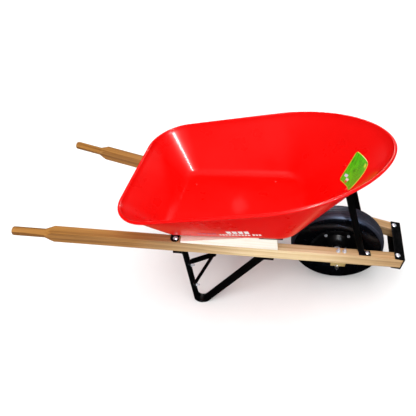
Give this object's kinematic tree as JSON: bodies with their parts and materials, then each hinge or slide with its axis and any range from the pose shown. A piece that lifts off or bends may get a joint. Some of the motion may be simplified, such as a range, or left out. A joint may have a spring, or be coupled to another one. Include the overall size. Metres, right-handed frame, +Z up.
{
  "type": "wheelbarrow",
  "caption": "Contractor wheelbarrow: deep red steel tray on two long hardwood handles, black channel steel legs and braces, ribbed pneumatic front wheel.",
  "frame": {"origin": "centre of the bounding box, on the ground", "axes": "+X forward towards the wheel and the nose, +Y to the left of the person pushing, +Z up; the ground is Z = 0"},
  "size_m": [1.498, 0.624, 0.7191],
  "materials": {
    "hardwood": "satin",
    "red_paint": "gloss",
    "green_label": "satin",
    "white_decal": "satin",
    "black_paint": "semi gloss",
    "yellow_block": "satin",
    "axle_steel": "brushed",
    "tyre_rubber": "matte",
    "tube_rubber": "matte",
    "black_plastic": "matte",
    "zinc": "satin"
  },
  "bodies": {
    "frame": {"handle_right": "hardwood", "handle_left": "hardwood", "tray": "red_paint", "nose_label": "green_label", "side_decals": "white_decal", "rear_bolster": "black_paint", "front_bolster": "black_paint", "wedge_right": "hardwood", "wedge_left": "hardwood", "tray_bolts": "red_paint", "tray_nuts": "zinc", "nose_brace_right": "black_paint", "nose_brace_left": "black_paint", "nose_brace_bolts": "zinc", "nose_brace_nuts": "zinc", "nose_bar": "black_paint", "nose_bolts": "zinc", "nose_nuts": "zinc", "leg_right": "black_paint", "leg_left": "black_paint", "leg_bolts": "zinc", "leg_nuts": "zinc", "upper_brace": "black_paint", "lower_brace": "black_paint", "brace_bolts": "zinc", "brace_nuts": "zinc", "axle_block_right": "yellow_block", "axle_block_left": "yellow_block", "ubolt_right": "zinc", "ubolt_left": "zinc", "ubolt_nuts": "zinc", "axle": "axle_steel", "axle_pins": "zinc", "axle_spacers": "black_paint"},
    "wheel": {"tyre": "tyre_rubber", "inner_tube": "tube_rubber", "rim_right": "black_paint", "rim_left": "black_paint", "rim_bolts": "zinc", "rim_nuts": "zinc", "hub": "black_paint", "bearing_right": "zinc", "bearing_left": "zinc", "valve_stem": "tube_rubber", "valve_cap": "black_plastic"}
  },
  "joints": [
    {"name": "wheel_spin", "type": "hinge", "parent": "frame", "child": "wheel", "pos_m": [0.47498, 0, 0.2], "axis": [0, 1, 0], "continuous": true}
  ]
}
